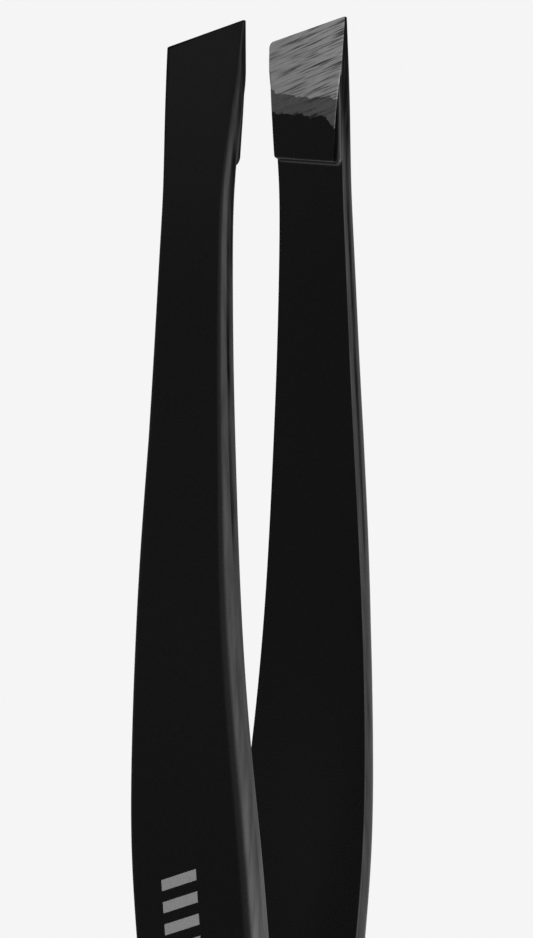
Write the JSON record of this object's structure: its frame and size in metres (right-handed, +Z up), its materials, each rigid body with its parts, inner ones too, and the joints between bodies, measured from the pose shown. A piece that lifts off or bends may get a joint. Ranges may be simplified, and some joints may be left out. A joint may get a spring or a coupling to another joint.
{
  "type": "slant tweezers",
  "caption": "Slant-tip tweezers: two bowed spring-steel arms welded at the tail, with forged and ground pads that meet when the arms are pinched.",
  "frame": {"origin": "middle of the tail end, on the plane between the two arms and at mid width", "axes": "+X from the tail end to the tips, +Y the way the left arm opens, +Z up across the arms' width, towards the long corner of the tips"},
  "size_m": [0.095, 0.012, 0.01],
  "materials": {
    "black_coat": "satin black coat on stainless steel, ground away to bare steel on the inner faces of the tips",
    "weld_steel": "bare fused stainless steel, hidden inside the joint"
  },
  "bodies": {
    "heel": {"left_arm_heel": "black_coat", "right_arm_heel": "black_coat", "weld_nuggets": "weld_steel"},
    "left_arm": {"left_arm_blade": "black_coat"},
    "right_arm": {"right_arm_blade": "black_coat"}
  },
  "joints": [
    {"name": "left_arm_flex", "type": "hinge", "parent": "heel", "child": "left_arm", "pos_m": [0.026, 0.00208, 0], "axis": [0, 0, -1], "range_deg": [0, 3.26], "stiffness_Nm_per_rad": 0.8},
    {"name": "right_arm_flex", "type": "hinge", "parent": "heel", "child": "right_arm", "pos_m": [0.026, -0.00208, 0], "axis": [0, 0, 1], "range_deg": [0, 3.26], "stiffness_Nm_per_rad": 0.8}
  ],
  "couplings": [
    {"joint": "right_arm_flex", "follows": "left_arm_flex", "ratio": 1}
  ]
}
